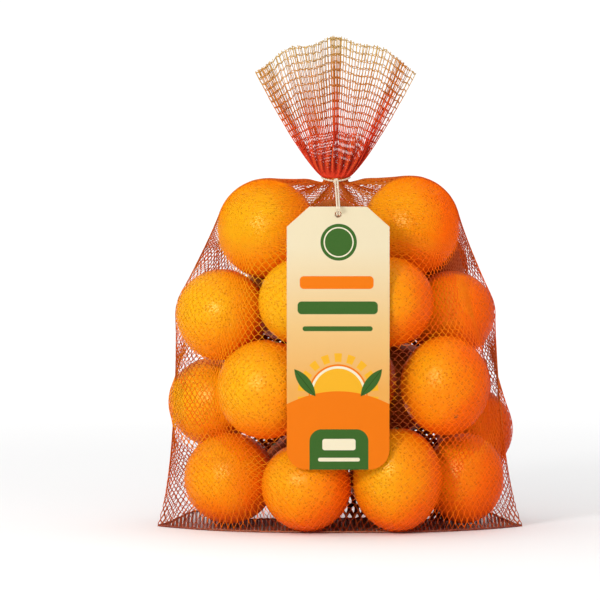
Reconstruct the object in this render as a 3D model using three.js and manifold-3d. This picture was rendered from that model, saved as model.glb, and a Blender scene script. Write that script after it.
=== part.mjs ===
// Net of oranges: an upright knitted bag packed with whole oranges. A string gathers the bag at its
// neck, the net fans out above the string, and the string also carries a long card tag.
// Millimetres, +Z up, the front faces -Y. The origin is the middle of the flat base, on the surface
// that the bag stands on.

import * as THREE from "three";
import { mergeVertices } from "three/addons/utils/BufferGeometryUtils.js";
import Module from "manifold-3d";

const wasm = await Module();
wasm.setup();

// Oranges: the middle's x, y and z, then half the width and half the height of each fruit.
// Those that show from the front, layer by layer from the bottom, left to right
const SEEN_ORANGES = [
  [-91, -4, 41, 38, 38],
  [-28, -44, 38, 37, 37],
  [48, -46, 44, 37, 43],
  [102, 0, 42, 33, 38],
  [112, 53, 75, 32, 35],
  [-106, 36, 100, 36, 37],
  [-61, -40, 118, 41, 41],
  [11, -14, 122, 36, 36],
  [86, -40, 121, 37, 41],
  [-96, 4, 176, 38, 38],
  [-31, -42, 190, 36, 36],
  [40, -42, 190, 36, 37],
  [92, 12, 176, 36, 36],
  [-60, 2, 246, 41, 41],
  [59, 6, 248, 40, 41],
];
// Those that fill the bag behind them
const HIDDEN_ORANGES = [
  [-30, 42, 38, 37, 37],
  [44, 40, 38, 37, 37],
  [-32, 46, 112, 37, 37],
  [50, 46, 112, 37, 37],
  [-52, 46, 188, 36, 36],
  [21, 44, 180, 36, 36],
  [-6, 44, 238, 30, 30],
  [76, 57, 212, 27, 27],
];
const SKIN_GAP = 0.4; // between two oranges that touch
const BASE_GAP = 1.0; // between the lowest oranges and the surface
const FRUIT_HALF_DEPTH = 84; // how far forwards or back an orange may reach
const SETTLE_ROUNDS = 600;
const FREE_ROUNDS = 150; // the last rounds, in which nothing pulls an orange home
const SEEN_PULL = new THREE.Vector3(0.3, 0.03, 0.3); // pull home in each round
const HIDDEN_PULL = new THREE.Vector3(0.02, 0.02, 0.02);

// Net bag
const COLUMNS = 84; // round the bag, from the right corner by the front
const NET_GAP = 0.8; // between the net's outside and the skin of an orange
const HEM_HALF_WIDTH = 151;
const HEM_HALF_DEPTH = 52;
const HEM_HEIGHT = 2;
const HEM_LIFT = 9; // how far the back hem rises beside each corner
const HEM_LIFT_REACH = 66; // from the corner to where the back hem is down again
const SHOULDER_HEIGHT = 287; // where the loose net turns in towards the neck
const BODY_HALF_WIDTH = 151;
const BODY_HALF_DEPTH = 90;
const HEM_CURVE = [3, 1]; // powers of the pointed hem's outline
const BODY_CURVE = [2.7, 0.37]; // of the rounded block that the body starts from
const NECK_CURVE = [2, 0.5]; // of a circle
const SIDE_ROWS = 30;
const SHOULDER_ROWS = 12;
const CORE_HALF = new THREE.Vector3(72, 22, 85); // block that the net is drawn in towards
const CORE_HEIGHT = 145;
const TENSION_ROUNDS = 400;
const UPRIGHT_PULL = 20; // pull of the threads that run up the bag, to 1 round it
const SINK_PULL = 2; // extra pull that lets the body follow the oranges deeper than the net does
const SINK_DEPTH = 25; // the most that the body lies inside the taut net, in front and at the back
const SINK_RISE = 40; // height at which it lies as deep as that
const CORE_CLEARANCE = 4; // between the body and the block that it is drawn in towards

// Neck and the fan of net above it
const NECK = new THREE.Vector3(-3.5, 0, 289.5); // where the string ties the net
const NECK_RADIUS = 10.4;
const NECK_DROP = 4; // from the string down to where the neck opens into the shoulders
const NECK_FLARE = 1.2;
const GATHERS = 14;
const GATHER_DEPTH = 2.4;
const GATHER_REACH = 26; // how far the gathers run down and out from the neck
const FAN_ROWS = 11;
const FAN_HALF_WIDTH = 66;
const FAN_RISE = 113; // along the middle
const FAN_EDGE_RISE = 87; // along the two edges
const FAN_HALF_THICKNESS = 3.2;
const FAN_FOLD = 6; // how far the fan's folds swing forwards and back
const FAN_RIPPLE = 1.8; // of the top edge, up and down

// String
const STRING_RADIUS = 0.8;
const STRING_GAP = 0.4; // to the net and to the card
const STRING_SPREAD = 1.5; // from the middle of the pair to each strand
const KNOT_RADIUS = 2.3;

// Card tag
const TAG_WIDTH = 83.5;
const TAG_HEIGHT = 213.5;
const TAG_THICKNESS = 0.8;
const TAG_BOTTOM = 55.5;
const TAG_MIDDLE = -2;
const TAG_CORNER = new THREE.Vector2(18.3, 16.2); // cut off each top corner
const TAG_ROUND = 16; // radius of each bottom corner
const TAG_BEND_START = 185; // above this height the card leans back towards the neck
const TAG_BEND_RADIUS = 250;
const TAG_GAP = 0.6; // between the card and the net that it hangs against
const TAG_MARGIN = 5; // how far past the card's edges that net is looked at
const TAG_BEND_ROWS = 12;
const HOLE_RADIUS = 2.75;
const HOLE_INSET = 6.2; // from the top edge to the middle of the hole

// Distance from an orange's middle to its skin, in a unit direction.
function skinDistance(orange, direction) {
  const across = Math.hypot(direction.x, direction.y) / orange.halfWidth;
  return 1 / Math.hypot(across, direction.z / orange.halfHeight);
}

// Moves touching oranges apart until none overlap, close to where each one is listed.
function settledOranges() {
  const place = (pull) => ([x, y, z, halfWidth, halfHeight]) => ({
    middle: new THREE.Vector3(x, y, z),
    home: new THREE.Vector3(x, y, z),
    pull,
    halfWidth,
    halfHeight,
  });
  const fruit = [
    ...SEEN_ORANGES.map(place(SEEN_PULL)),
    ...HIDDEN_ORANGES.map(place(HIDDEN_PULL)),
  ];
  const apart = new THREE.Vector3();
  for (let round = 0; round < SETTLE_ROUNDS; round++) {
    if (round < SETTLE_ROUNDS - FREE_ROUNDS) {
      for (const { middle, home, pull } of fruit) {
        middle.add(apart.subVectors(home, middle).multiply(pull));
      }
    }
    for (let i = 0; i < fruit.length; i++) {
      for (let j = i + 1; j < fruit.length; j++) {
        const [a, b] = [fruit[i], fruit[j]];
        apart.subVectors(b.middle, a.middle);
        const distance = apart.length();
        apart.divideScalar(distance);
        const overlap = skinDistance(a, apart) + skinDistance(b, apart) + SKIN_GAP - distance;
        if (overlap <= 0) continue;
        a.middle.addScaledVector(apart, -overlap / 2);
        b.middle.addScaledVector(apart, overlap / 2);
      }
    }
    for (const { middle, halfWidth, halfHeight } of fruit) {
      const room = FRUIT_HALF_DEPTH - halfWidth;
      middle.y = THREE.MathUtils.clamp(middle.y, -room, room);
      middle.z = Math.max(middle.z, halfHeight + BASE_GAP);
    }
  }
  return fruit;
}

const oranges = settledOranges();

// How far along a ray the last orange that it meets ends, or 0.
function lastSkin(start, direction) {
  const from = new THREE.Vector3();
  const along = new THREE.Vector3();
  let furthest = 0;
  for (const { middle, halfWidth, halfHeight } of oranges) {
    const scale = new THREE.Vector3(halfWidth, halfWidth, halfHeight).addScalar(NET_GAP);
    from.subVectors(start, middle).divide(scale);
    along.copy(direction).divide(scale);
    const a = along.lengthSq();
    const b = from.dot(along);
    const inside = b * b - a * (from.lengthSq() - 1);
    if (inside > 0) furthest = Math.max(furthest, (-b + Math.sqrt(inside)) / a);
  }
  return furthest;
}

const signedPower = (value, power) => Math.sign(value) * Math.abs(value) ** power;

// COLUMNS evenly spaced points round one level of the bag, from the right corner by the front.
// Its outline is y = halfDepth * (1 - |x / halfWidth| ** a) ** b, for the two powers a and b, with
// x measured from its middle.
function level(halfWidth, halfDepth, height, [a, b], middle = 0) {
  const fine = [];
  for (let i = 0; i < COLUMNS * 6; i++) {
    const angle = (i / (COLUMNS * 6)) * 2 * Math.PI;
    const across = Math.cos(angle);
    const depth = halfDepth * Math.max(0, 1 - Math.abs(across) ** a) ** b;
    const side = Math.sin(angle) > 0 ? -1 : 1;
    fine.push(new THREE.Vector3(middle + halfWidth * across, side * depth, height));
  }
  const outline = new THREE.CatmullRomCurve3(fine, true, "catmullrom", 0);
  outline.arcLengthDivisions = fine.length * 4;
  return outline.getSpacedPoints(COLUMNS).slice(0, COLUMNS);
}

const mix = (from, to, share) => from.map((value, i) => THREE.MathUtils.lerp(value, to[i], share));

// One row of the hem. Beside each corner the back of the hem rises off the surface.
function hemRow(height) {
  const row = level(HEM_HALF_WIDTH, HEM_HALF_DEPTH, height, HEM_CURVE);
  for (const point of row) {
    const fromCorner = (HEM_HALF_WIDTH - Math.abs(point.x)) / HEM_LIFT_REACH;
    if (point.y <= 0 || fromCorner >= 1) continue;
    point.z += HEM_LIFT * Math.sin(fromCorner * Math.PI) ** 2;
  }
  return row;
}

// The loose net before it is drawn in: rows of points from the hem up to the neck.
function looseRows() {
  const rows = [hemRow(0), hemRow(HEM_HEIGHT)];
  const hem = [HEM_HALF_WIDTH, HEM_HALF_DEPTH];
  const body = [BODY_HALF_WIDTH, BODY_HALF_DEPTH];
  const neck = [NECK_RADIUS + NECK_FLARE, NECK_RADIUS + NECK_FLARE];
  for (let i = 1; i <= SIDE_ROWS; i++) {
    const share = i / SIDE_ROWS;
    const filled = Math.min(1, share * 6) ** 0.6; // the hem's points round off as the bag fills
    const height = THREE.MathUtils.lerp(HEM_HEIGHT, SHOULDER_HEIGHT, share);
    rows.push(level(...mix(hem, body, filled), height, mix(HEM_CURVE, BODY_CURVE, filled)));
  }
  for (let i = 1; i <= SHOULDER_ROWS; i++) {
    const share = i / SHOULDER_ROWS;
    const height = THREE.MathUtils.lerp(SHOULDER_HEIGHT, NECK.z - NECK_DROP, share);
    const curve = mix(BODY_CURVE, NECK_CURVE, share);
    rows.push(level(...mix(body, neck, share), height, curve, NECK.x * share));
  }
  return rows;
}

// The ray of each point of the loose net, out of the block in the middle of the bag. A point never
// comes nearer to the block than least.
function raysTo(rows) {
  const low = new THREE.Vector3(0, 0, CORE_HEIGHT).sub(CORE_HALF);
  const high = new THREE.Vector3(0, 0, CORE_HEIGHT).add(CORE_HALF);
  return rows.map((row) =>
    row.map((point) => {
      const start = point.clone().clamp(low, high);
      const direction = point.clone().sub(start).normalize();
      return { start, direction, least: lastSkin(start, direction), inward: 0 };
    }),
  );
}

// Draws the rows in: each point slides along its own ray until the pull of the threads that meet in
// it, or an orange, stops it. The two hem rows and the row at the neck hold still.
function drawIn(rows, rays) {
  const pull = new THREE.Vector3();
  for (let round = 0; round < TENSION_ROUNDS; round++) {
    for (let r = 2; r < rows.length - 1; r++) {
      for (let c = 0; c < COLUMNS; c++) {
        const point = rows[r][c];
        let total = 0;
        pull.set(0, 0, 0);
        for (const [neighbour, strength] of [
          [rows[r - 1][c], UPRIGHT_PULL],
          [rows[r + 1][c], UPRIGHT_PULL],
          [rows[r][(c + 1) % COLUMNS], 1],
          [rows[r][(c + COLUMNS - 1) % COLUMNS], 1],
        ]) {
          const weight = strength / neighbour.distanceTo(point);
          pull.addScaledVector(neighbour, weight);
          total += weight;
        }
        const { start, direction, least, inward } = rays[r][c];
        const reach = pull.divideScalar(total).sub(start).dot(direction) - inward;
        point.copy(start).addScaledVector(direction, Math.max(least, reach));
      }
    }
  }
}

// Lets the rays of the taut net take the body deeper, but not at the sides or at the hem, where the
// net is the outline of the bag.
function deepen(rows, rays) {
  rows.forEach((row, r) => {
    row.forEach((point, c) => {
      const ray = rays[r][c];
      const share = Math.sqrt(Math.abs(ray.direction.y)) * Math.min(1, point.z / SINK_RISE);
      const taut = point.distanceTo(ray.start);
      ray.least = Math.max(ray.least, taut - SINK_DEPTH * share, CORE_CLEARANCE);
      ray.inward = SINK_PULL * share;
    });
  });
}

// Folds the net into gathers that fade out down and away from the neck.
function gatherShoulders(rows) {
  for (const row of rows.slice(2, -1)) {
    row.forEach((point, c) => {
      const fade = Math.exp(-point.distanceTo(NECK) / GATHER_REACH);
      const wave = Math.cos((c / COLUMNS) * GATHERS * 2 * Math.PI);
      point.z += GATHER_DEPTH * 2 * fade * wave;
    });
  }
}

// One row of the fan. share runs from 0 at the string to 1 at the top edge.
function fanRow(share) {
  const row = [];
  const halfWidth = THREE.MathUtils.lerp(NECK_RADIUS, FAN_HALF_WIDTH, share ** 0.8);
  const halfThickness = THREE.MathUtils.lerp(NECK_RADIUS, FAN_HALF_THICKNESS, share ** 0.5);
  for (let c = 0; c < COLUMNS; c++) {
    const angle = (c / COLUMNS) * 2 * Math.PI;
    const even = Math.abs((4 * c) / COLUMNS - 2) - 1; // from 1 at the right to -1 and back
    const across = THREE.MathUtils.lerp(Math.cos(angle), even, Math.min(1, share * 3));
    const side = -signedPower(Math.sin(angle), THREE.MathUtils.lerp(1, 0.35, share));
    const fold = Math.sin(across * 5.2 + 0.5) + 0.45 * Math.sin(across * 11 + 1.7); // wide, narrow
    const rise = FAN_RISE - (FAN_RISE - FAN_EDGE_RISE) * across * across;
    const ripple = FAN_RIPPLE * Math.cos(across * 10.3);
    row.push(
      new THREE.Vector3(
        NECK.x + halfWidth * across,
        halfThickness * side + FAN_FOLD * share * fold,
        NECK.z + share * (rise + ripple),
      ),
    );
  }
  return row;
}

// A closed body from rings of COLUMNS points each, lowest first, with flat ends that join each
// front point to the back point behind it.
function closedBody(rows) {
  const positions = rows.flat().flatMap((point) => point.toArray());
  const index = [];
  const at = (r, c) => r * COLUMNS + (c % COLUMNS);
  for (let r = 0; r + 1 < rows.length; r++) {
    for (let c = 0; c < COLUMNS; c++) {
      const [a, b] = [at(r, c), at(r, c + 1)];
      const [d, e] = [at(r + 1, c), at(r + 1, c + 1)];
      index.push(a, d, b, b, d, e);
    }
  }
  const top = rows.length - 1;
  for (let c = 0; c < COLUMNS / 2; c++) {
    const [behind, nextBehind] = [COLUMNS - c, COLUMNS - c - 1];
    if (c + 1 < nextBehind) {
      index.push(at(0, c), at(0, c + 1), at(0, nextBehind));
      index.push(at(top, c), at(top, nextBehind), at(top, c + 1));
    }
    if (c > 0) {
      index.push(at(0, c), at(0, nextBehind), at(0, behind));
      index.push(at(top, c), at(top, behind), at(top, nextBehind));
    }
  }
  const geometry = new THREE.BufferGeometry();
  geometry.setAttribute("position", new THREE.Float32BufferAttribute(positions, 3));
  geometry.setIndex(index);
  return geometry;
}

const netRows = looseRows();
const netRays = raysTo(netRows);
drawIn(netRows, netRays);

// The bag's body, which sinks in between the oranges, as they show through the open net.
function netBag() {
  const bodyRows = netRows.map((row) => row.map((point) => point.clone()));
  deepen(bodyRows, netRays);
  drawIn(bodyRows, netRays);
  gatherShoulders(bodyRows);
  const fan = [];
  for (let i = 0; i <= FAN_ROWS; i++) fan.push(fanRow(i / FAN_ROWS));
  return closedBody([...bodyRows, ...fan]);
}

// How far the card leans back at a height.
function tagLean(height) {
  const above = Math.max(0, height - TAG_BEND_START);
  return (above * above) / (2 * TAG_BEND_RADIUS);
}

// Where the upright part of the card's back stands, so that the card clears the net behind it.
function tagBack() {
  const half = TAG_WIDTH / 2 + TAG_MARGIN;
  const behindCard = netRows
    .flat()
    .filter((point) => Math.abs(point.x - TAG_MIDDLE) < half && point.z > TAG_BOTTOM - TAG_MARGIN);
  return Math.min(...behindCard.map((point) => point.y - tagLean(point.z))) - TAG_GAP;
}

const TAG_BACK = tagBack();
const TAG_TOP = TAG_BOTTOM + TAG_HEIGHT;
const HOLE_HEIGHT = TAG_TOP - HOLE_INSET;

// Half the card's width at a height: a slanting cut at the top, round corners at the bottom.
function tagHalfWidth(height) {
  const half = TAG_WIDTH / 2;
  const intoCut = Math.max(0, height - (TAG_TOP - TAG_CORNER.y)) / TAG_CORNER.y;
  const intoRound = Math.max(0, TAG_BOTTOM + TAG_ROUND - height);
  const round = TAG_ROUND - Math.sqrt(TAG_ROUND ** 2 - intoRound ** 2);
  return half - intoCut * TAG_CORNER.x - round;
}

// Heights of the card's rows: round the bottom corners, up the bend, and at the slanting cuts.
function tagHeights() {
  const heights = [];
  for (let i = 0; i <= 6; i++) {
    const angle = (i / 6) * (Math.PI / 2);
    heights.push(TAG_BOTTOM + TAG_ROUND * (1 - Math.cos(angle)));
  }
  const cut = TAG_TOP - TAG_CORNER.y;
  for (let i = 0; i <= TAG_BEND_ROWS; i++) {
    heights.push(THREE.MathUtils.lerp(TAG_BEND_START, cut, i / TAG_BEND_ROWS));
  }
  for (const share of [1 / 3, 2 / 3, 1]) heights.push(cut + TAG_CORNER.y * share);
  return heights;
}

// Turns a geometry into a solid for cutting and joining.
function solidFrom(geometry) {
  const bare = geometry.index ? geometry.toNonIndexed() : geometry.clone();
  bare.deleteAttribute("normal");
  bare.deleteAttribute("uv");
  const merged = mergeVertices(bare, 1e-4);
  const mesh = new wasm.Mesh({
    numProp: 3,
    vertProperties: merged.attributes.position.array,
    triVerts: new Uint32Array(merged.index.array),
  });
  return new wasm.Manifold(mesh);
}

function geometryFrom(solid) {
  const mesh = solid.getMesh();
  const geometry = new THREE.BufferGeometry();
  geometry.setAttribute("position", new THREE.BufferAttribute(mesh.vertProperties, 3));
  geometry.setIndex(new THREE.BufferAttribute(mesh.triVerts, 1));
  return geometry;
}

// The card with its hole, bent back a little at the top. Each row is a ring of four points.
function cardTag() {
  const rings = tagHeights().map((height) => {
    const [left, right] = [-1, 1].map((side) => TAG_MIDDLE + side * tagHalfWidth(height));
    const back = TAG_BACK + tagLean(height);
    const front = back - TAG_THICKNESS;
    return [
      [left, front, height],
      [right, front, height],
      [right, back, height],
      [left, back, height],
    ];
  });
  const index = [0, 2, 1, 0, 3, 2];
  for (let r = 0; r + 1 < rings.length; r++) {
    for (let c = 0; c < 4; c++) {
      const [a, b] = [r * 4 + c, r * 4 + ((c + 1) % 4)];
      index.push(a, b, a + 4, b, b + 4, a + 4);
    }
  }
  const top = (rings.length - 1) * 4;
  index.push(top, top + 1, top + 2, top, top + 2, top + 3);
  const card = new THREE.BufferGeometry();
  card.setAttribute("position", new THREE.Float32BufferAttribute(rings.flat(2), 3));
  card.setIndex(index);
  const punch = new THREE.CylinderGeometry(HOLE_RADIUS, HOLE_RADIUS, 12, 28);
  punch.translate(TAG_MIDDLE, TAG_BACK + tagLean(HOLE_HEIGHT), HOLE_HEIGHT);
  return geometryFrom(solidFrom(card).subtract(solidFrom(punch)));
}

// A round strand along a smooth route.
function strand(points, radius, steps) {
  const section = new THREE.Shape().absarc(0, 0, radius, 0, 2 * Math.PI, false);
  return new THREE.ExtrudeGeometry(section, {
    extrudePath: new THREE.CatmullRomCurve3(points),
    steps,
    curveSegments: 5,
    bevelEnabled: false,
  });
}

// The string: a loop round the neck, a knot at the front, and two strands through the card's hole
// to a second knot behind the card.
function tieString() {
  const loopRadius = NECK_RADIUS + STRING_GAP + STRING_RADIUS;
  const loop = new THREE.TorusGeometry(loopRadius, STRING_RADIUS, 8, 48);
  loop.translate(NECK.x, NECK.y, NECK.z);
  const knot = new THREE.SphereGeometry(KNOT_RADIUS, 12, 8);
  knot.scale(1.1, 0.7, 0.8);
  const frontKnot = knot.clone().translate(NECK.x, -loopRadius - STRING_RADIUS, NECK.z);
  const cardFace = TAG_BACK + tagLean(HOLE_HEIGHT) - TAG_THICKNESS;
  let solid = solidFrom(loop).add(solidFrom(frontKnot));
  for (const side of [-1, 1]) {
    const x = TAG_MIDDLE + side * (STRING_RADIUS + 0.1);
    const route = [
      new THREE.Vector3(NECK.x + side * 0.8, -loopRadius - 1, NECK.z),
      new THREE.Vector3(NECK.x + side * STRING_SPREAD, -loopRadius - 14, NECK.z - 4),
      new THREE.Vector3(x, cardFace - 3, HOLE_HEIGHT + 8),
      new THREE.Vector3(x, cardFace - 2, HOLE_HEIGHT + 2),
      new THREE.Vector3(x, cardFace + 1, HOLE_HEIGHT - 0.3),
      new THREE.Vector3(x, cardFace + 5, HOLE_HEIGHT - 1),
    ];
    solid = solid.add(solidFrom(strand(route, STRING_RADIUS, 34)));
  }
  const backKnot = knot.clone().scale(1.3, 1, 1.3);
  backKnot.translate(TAG_MIDDLE, cardFace + 5, HOLE_HEIGHT - 1);
  return geometryFrom(solid.add(solidFrom(backKnot)));
}

const netMaterial = new THREE.MeshStandardMaterial({ color: 0xf07a1c, roughness: 0.6 });
const stringMaterial = new THREE.MeshStandardMaterial({ color: 0xefe3cd, roughness: 0.9 });
const cardMaterial = new THREE.MeshStandardMaterial({ color: 0xf4e6c6, roughness: 0.75 });

const group = new THREE.Group();
for (const [name, geometry, material] of [
  ["net_bag", netBag(), netMaterial],
  ["tie_string", tieString(), stringMaterial],
  ["card_tag", cardTag(), cardMaterial],
]) {
  const mesh = new THREE.Mesh(geometry, material);
  mesh.name = name;
  group.add(mesh);
}

export default group;
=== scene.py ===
# Net of oranges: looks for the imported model. Separate oranges fill the bag, and the knitted net, its
# fan, the twine and the card's print are made round them.
# Lengths are in millimetres, as in the part's source, until a mesh, a lamp or the camera is made.
import math

import bpy
import numpy as np
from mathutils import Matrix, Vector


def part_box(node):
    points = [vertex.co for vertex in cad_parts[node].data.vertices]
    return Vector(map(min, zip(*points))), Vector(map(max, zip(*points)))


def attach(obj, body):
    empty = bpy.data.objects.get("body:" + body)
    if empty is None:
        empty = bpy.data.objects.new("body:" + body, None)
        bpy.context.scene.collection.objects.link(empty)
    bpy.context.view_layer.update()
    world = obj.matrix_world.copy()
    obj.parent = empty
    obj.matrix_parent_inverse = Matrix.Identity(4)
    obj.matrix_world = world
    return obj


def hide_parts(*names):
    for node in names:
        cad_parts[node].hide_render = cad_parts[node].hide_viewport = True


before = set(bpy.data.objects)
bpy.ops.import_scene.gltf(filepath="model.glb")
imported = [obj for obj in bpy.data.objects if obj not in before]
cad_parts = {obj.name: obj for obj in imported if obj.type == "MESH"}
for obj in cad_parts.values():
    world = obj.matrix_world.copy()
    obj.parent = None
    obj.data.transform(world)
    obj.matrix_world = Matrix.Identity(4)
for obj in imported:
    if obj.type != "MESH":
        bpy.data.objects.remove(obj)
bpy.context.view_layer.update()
MM = 0.001
draws = np.random.default_rng(7)

# Oranges: the middle's x, y and z, then half the width and half the height of each fruit
SEEN_ORANGES = [
    (-91, -4, 41, 38, 38),
    (-28, -44, 38, 37, 37),
    (48, -46, 44, 37, 43),
    (102, 0, 42, 33, 38),
    (112, 53, 75, 32, 35),
    (-106, 36, 100, 36, 37),
    (-61, -40, 118, 41, 41),
    (11, -14, 122, 36, 36),
    (86, -40, 121, 37, 41),
    (-96, 4, 176, 38, 38),
    (-31, -42, 190, 36, 36),
    (40, -42, 190, 36, 37),
    (92, 12, 176, 36, 36),
    (-60, 2, 246, 41, 41),
    (59, 6, 248, 40, 41),
]
HIDDEN_ORANGES = [
    (-30, 42, 38, 37, 37),
    (44, 40, 38, 37, 37),
    (-32, 46, 112, 37, 37),
    (50, 46, 112, 37, 37),
    (-52, 46, 188, 36, 36),
    (21, 44, 180, 36, 36),
    (-6, 44, 238, 30, 30),
    (76, 57, 212, 27, 27),
]
SKIN_GAP = 0.4
BASE_GAP = 1.0
FRUIT_HALF_DEPTH = 84
SETTLE_ROUNDS = 600
FREE_ROUNDS = 150  # the last rounds, in which nothing pulls an orange home
NEVER_CLOSER = 90  # two oranges whose middles are further apart can't touch
SEEN_PULL = (0.3, 0.03, 0.3)
HIDDEN_PULL = (0.02, 0.02, 0.02)

# How ripe each seen orange looks, from pale to deep, in the order of its list above
RIPENESS = [0.55, 0.55, 0.4, 0.8, 0.9, 0.3, 0.3, 0.4, 0.6, 0.25, 0.05, 0.4, 0.8, 0.3, 0.55]
LIT_SIDE = np.array([-0.5, -0.8, 0.33])  # painted light: the side on which the peel is painted palest, as if lit
MARKED_ORANGE = 8  # its blossom end shows low on its front
FRUIT_SEGMENTS = 76
FRUIT_RINGS = 56

# Net bag, as in the part's source
COLUMNS = 84
NET_GAP = 0.8
HEM_HALF_WIDTH = 151
HEM_HALF_DEPTH = 52
HEM_HEIGHT = 2
HEM_LIFT = 9
HEM_LIFT_REACH = 66
SHOULDER_HEIGHT = 287
BODY_HALF_WIDTH = 151
BODY_HALF_DEPTH = 90
HEM_CURVE = (3, 1)
BODY_CURVE = (2.7, 0.37)
NECK_CURVE = (2, 0.5)
SIDE_ROWS = 30
SHOULDER_ROWS = 12
CORE_LOW = np.array([-72, -22, 60])
CORE_HIGH = np.array([72, 22, 230])
TENSION_ROUNDS = 400
UPRIGHT_PULL = 20
NECK = np.array([-3.5, 0, 289.5])
NECK_RADIUS = 10.4
NECK_DROP = 4
NECK_FLARE = 1.2
GATHERS = 14
GATHER_DEPTH = 2.4
GATHER_REACH = 26
FAN_HALF_WIDTH = 66
FAN_RISE = 113
FAN_EDGE_RISE = 87
FAN_HALF_THICKNESS = 3.2
FAN_FOLD = 6
FAN_RIPPLE = 1.8

# Threads
CELLS_ROUND = 120
SIDE_CELLS = 46
SHOULDER_CELLS = 20
THREAD_RADIUS = 0.3
THREAD_INSET = 0.45  # from the net's outside to the middle of a thread
THREAD_FLOOR_GAP = 0.1  # under the lowest threads
TOUCH_REACH = 12  # how far from the peel a thread still takes its colour
FRONT_TOUCH = 0.8  # least share of the peel's colour in front of an orange that is seen
OPEN_EDGE = (0.96, 1.04)  # squared share of an orange's half width over which the net counts as open
OPEN_THINNING = 0.3  # how much thinner the threads in front are where it is open
NECK_GROWTH = 0.6  # how much thicker they are at the neck
RIDGE_CROWDING = 0.6  # how far the threads crowd towards the two ridges of the shoulders
RIDGE_WIDTH = 0.05  # share of the way round the bag
RIDGE_GROWTH = 0.6
# Where the back's threads bunch up, by x and z. There they are made thick and, on their side that faces into
# the bag, painted dark: painted shade for the inside of the bag
FOLDS = [(68, 71), (84, 61), (66, 146), (-50, 64), (-64, 60), (-44, 148), (-60, 148), (84, 8), (12, 12)]
FOLD_REACH = 12
FOLD_GROWTH = 6.5  # how much thicker they are there
LOOSE_REACH = (84, 100)  # the bag's sides start here
LOOSE_GROWTH = 0.4  # how much thicker the threads are at the sides, clear of the peel
LINK = 0.4  # share of half a cell's height in which two threads run together
LINK_SPREAD = 0.1  # from the middle of a link to each of its threads, in half cells
BUNCHING = 0.85  # how far the threads crowd on the crests of the gathers at the neck
HEM_RADIUS = 0.85
BASE_LEVELS = 28
BASE_CELL_RATIO = 3.4  # columns for each level
FAN_WIDTH = (0.52, 0.46)  # half the width of its upright threads, at the neck and at the top
FAN_CELLS = 18
# The fan's folds, from the right edge by the front: place across, depth from -1 at the front to 1 at
# the back, and the number of upright threads on the way to the next fold
FAN_FOLDS = [
    (1.0, -0.1, 5),
    (0.76, -0.4, 5),
    (0.88, -0.9, 23),
    (-0.06, -0.8, 5),
    (0.06, -0.5, 25),
    (-1.0, -0.6, 5),
    (-0.82, -0.2, 5),
    (-1.0, 0.3, 49),
]
FAN_THREADS = sum(fold[2] for fold in FAN_FOLDS)

# Twine and card
TWINE_RADIUS = 0.8
TWINE_GAP = 0.4
PLY_RADIUS = TWINE_RADIUS * 0.52
TWINE_TURN = 5.0  # length in which its two plies turn once round each other
LOOP_SAG = 2.4
TAG_THICKNESS = 0.8
TAG_HEIGHT = 213.5
TAG_BEND_START = 185
TAG_BEND_RADIUS = 250
HOLE_INSET = 6.2

# Stage
FLOOR_HALF_WIDTH = 40000
FLOOR_FADE = (250, 1500)  # from the object to where the floor is all backdrop
LAMP_AIM = np.array([0, 0, 170])
SKY = ((0, 1.0), (0.05, 0.62), (0.35, 0.62), (1, 1.35))  # strength at each height, from the horizon
# Each lamp's name, direction from the bag, distance, size, power in watts, colour and what it lights
LAMPS = (
    ("key", (-0.5, -0.78, 0.4), 1500, 300, 9, (1, 1, 1), "diffuse"),
    ("gleam", (-0.39, -0.87, 0.33), 1500, 120, 80, (1, 0.72, 0.34), "glossy"),
)

# Camera: it looks along +Y, a little down, at a point in front of the bag
CAMERA_ELEVATION = math.radians(4)
CAMERA_DISTANCE = 5000
CAMERA_AIM = np.array([-33, 0, 188])
VIEW_WIDTH = 495.6
SENSOR_WIDTH = 36


def unit(vectors):
    """Vectors of length 1."""
    return vectors / np.maximum(np.linalg.norm(vectors, axis=-1, keepdims=True), 1e-9)


def mesh_object(name, points, face_sets, material, smooth=True, **values):
    """An object from points in millimetres and arrays of faces, with a value for each point by name."""
    mesh = bpy.data.meshes.new(name)
    mesh.vertices.add(len(points))
    mesh.vertices.foreach_set("co", (points * MM).astype(np.float32).ravel())
    corners = np.concatenate([faces.ravel() for faces in face_sets])
    sizes = np.concatenate([np.full(len(faces), faces.shape[1]) for faces in face_sets])
    mesh.loops.add(len(corners))
    mesh.loops.foreach_set("vertex_index", corners.astype(np.int32))
    mesh.polygons.add(len(sizes))
    starts = np.concatenate([[0], np.cumsum(sizes)[:-1]])
    mesh.polygons.foreach_set("loop_start", starts.astype(np.int32))
    mesh.polygons.foreach_set("use_smooth", np.full(len(sizes), smooth))
    for key, value in values.items():
        attribute = mesh.attributes.new(key, "FLOAT", "POINT")
        attribute.data.foreach_set("value", np.asarray(value, np.float32).ravel())
    mesh.update(calc_edges=True)
    mesh.validate()
    mesh.materials.append(material)
    made = bpy.data.objects.new(name, mesh)
    bpy.context.scene.collection.objects.link(made)
    return made


def dress(piece, node):
    """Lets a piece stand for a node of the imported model."""
    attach(piece, "root")
    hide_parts(node)
    return piece


# Oranges


class Orange:
    """A fruit's place, size and looks."""

    def __init__(self, listed, pull, ripeness):
        self.middle = [float(value) for value in listed[:3]]
        self.home = list(self.middle)
        self.half_width, self.half_height = listed[3:]
        self.pull = pull
        self.ripeness = ripeness

    def skin(self, across, up):
        """Distance from the middle to the skin, in a unit direction."""
        return 1 / math.hypot(across / self.half_width, up / self.half_height)

    def halves(self, extra=0):
        return np.array([self.half_width, self.half_width, self.half_height]) + extra


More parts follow.
